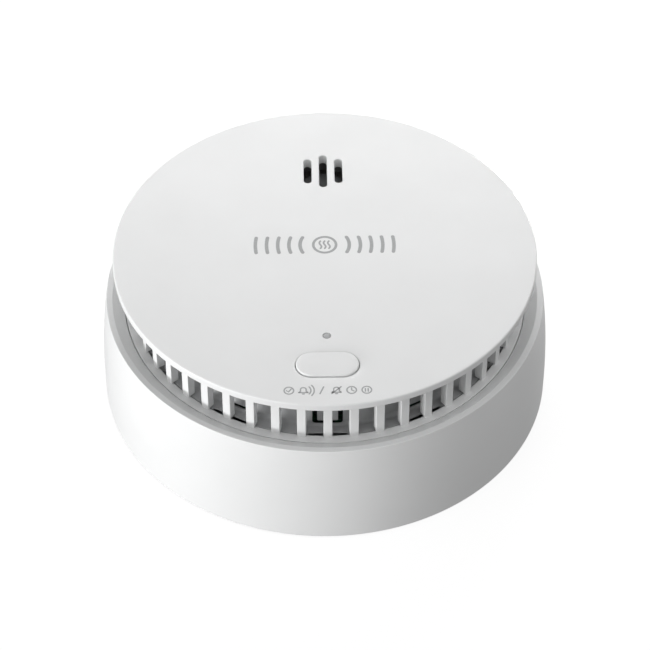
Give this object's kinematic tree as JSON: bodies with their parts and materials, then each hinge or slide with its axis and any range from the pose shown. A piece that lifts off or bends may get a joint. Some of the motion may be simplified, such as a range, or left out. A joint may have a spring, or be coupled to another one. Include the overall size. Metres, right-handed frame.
{
  "type": "smoke detector",
  "caption": "Round ceiling smoke detector: flat face on vent ribs above a drum housing, test button, sounder slots, battery door and twist-off bracket.",
  "frame": {"origin": "centre of the mounting bracket's back face, which lies on the ceiling, wall or table", "axes": "+Z out of the front face; the test button is on the -Y side, the sounder slots on the +Y side"},
  "size_m": [0.102, 0.102, 0.0388],
  "materials": {
    "housing_white": "satin moulded",
    "button_white": "satin moulded",
    "grey_plastic": "moulded",
    "black_plastic": "moulded, light absorbing",
    "board_laminate": "solder mask",
    "plated_steel": "nickel plated",
    "brass": "rolled",
    "ceramic": "silvered",
    "foam": "open cell",
    "chip_resin": "moulded resin",
    "aluminium_can": "plain",
    "cell_sleeve": "printed sleeve, no text",
    "clear_lens": "clear moulded",
    "dark_lens": "dark moulded"
  },
  "bodies": {
    "bracket": {"mounting_bracket": "housing_white"},
    "alarm": {"rear_housing": "housing_white", "front_cover": "housing_white", "battery_cell_1": "cell_sleeve", "battery_cell_2": "cell_sleeve", "positive_contact": "plated_steel", "negative_spring": "plated_steel", "bridge_contact": "plated_steel", "bridge_spring": "plated_steel", "circuit_board": "board_laminate", "retaining_ring": "grey_plastic", "chamber_base": "black_plastic", "labyrinth_cover": "black_plastic", "insect_screen": "plated_steel", "infrared_emitter": "clear_lens", "photodiode": "dark_lens", "horn_base": "black_plastic", "horn_cap": "black_plastic", "horn_gasket": "foam", "piezo_disc": "brass", "piezo_ceramic": "ceramic", "horn_contact_1": "plated_steel", "horn_contact_2": "plated_steel", "horn_contact_3": "plated_steel", "microcontroller": "chip_resin", "boost_inductor": "grey_plastic", "storage_capacitor": "aluminium_can", "test_switch_body": "black_plastic", "button_spring": "plated_steel", "status_led": "clear_lens", "light_pipe": "clear_lens", "board_screw_1": "plated_steel", "board_screw_2": "plated_steel", "board_screw_3": "plated_steel", "board_screw_4": "plated_steel", "case_screw_1": "plated_steel", "case_screw_2": "plated_steel", "case_screw_3": "plated_steel"},
    "door": {"battery_door": "housing_white"},
    "button": {"test_button": "button_white"},
    "switch_plunger": {"test_switch_plunger": "button_white"}
  },
  "joints": [
    {"name": "alarm_twist", "type": "hinge", "parent": "bracket", "child": "alarm", "pos_m": [0, 0, 0], "axis": [0, 0, 1], "range_deg": [0, 15]},
    {"name": "battery_door_hinge", "type": "hinge", "parent": "alarm", "child": "door", "pos_m": [0, 0.0269, 0.0056], "axis": [1, 0, 0], "range_deg": [0, 100]},
    {"name": "test_button_press", "type": "slide", "parent": "alarm", "child": "button", "axis": [0, 0, -1], "range_m": [0, 0.0008], "stiffness_N_per_m": 1500, "springref_m": -0.0008, "deforming": ["button_spring"]},
    {"name": "test_switch_press", "type": "slide", "parent": "alarm", "child": "switch_plunger", "axis": [0, 0, -1], "range_m": [0, 0.0008]}
  ],
  "couplings": [
    {"joint": "test_switch_press", "follows": "test_button_press", "ratio": 1}
  ]
}
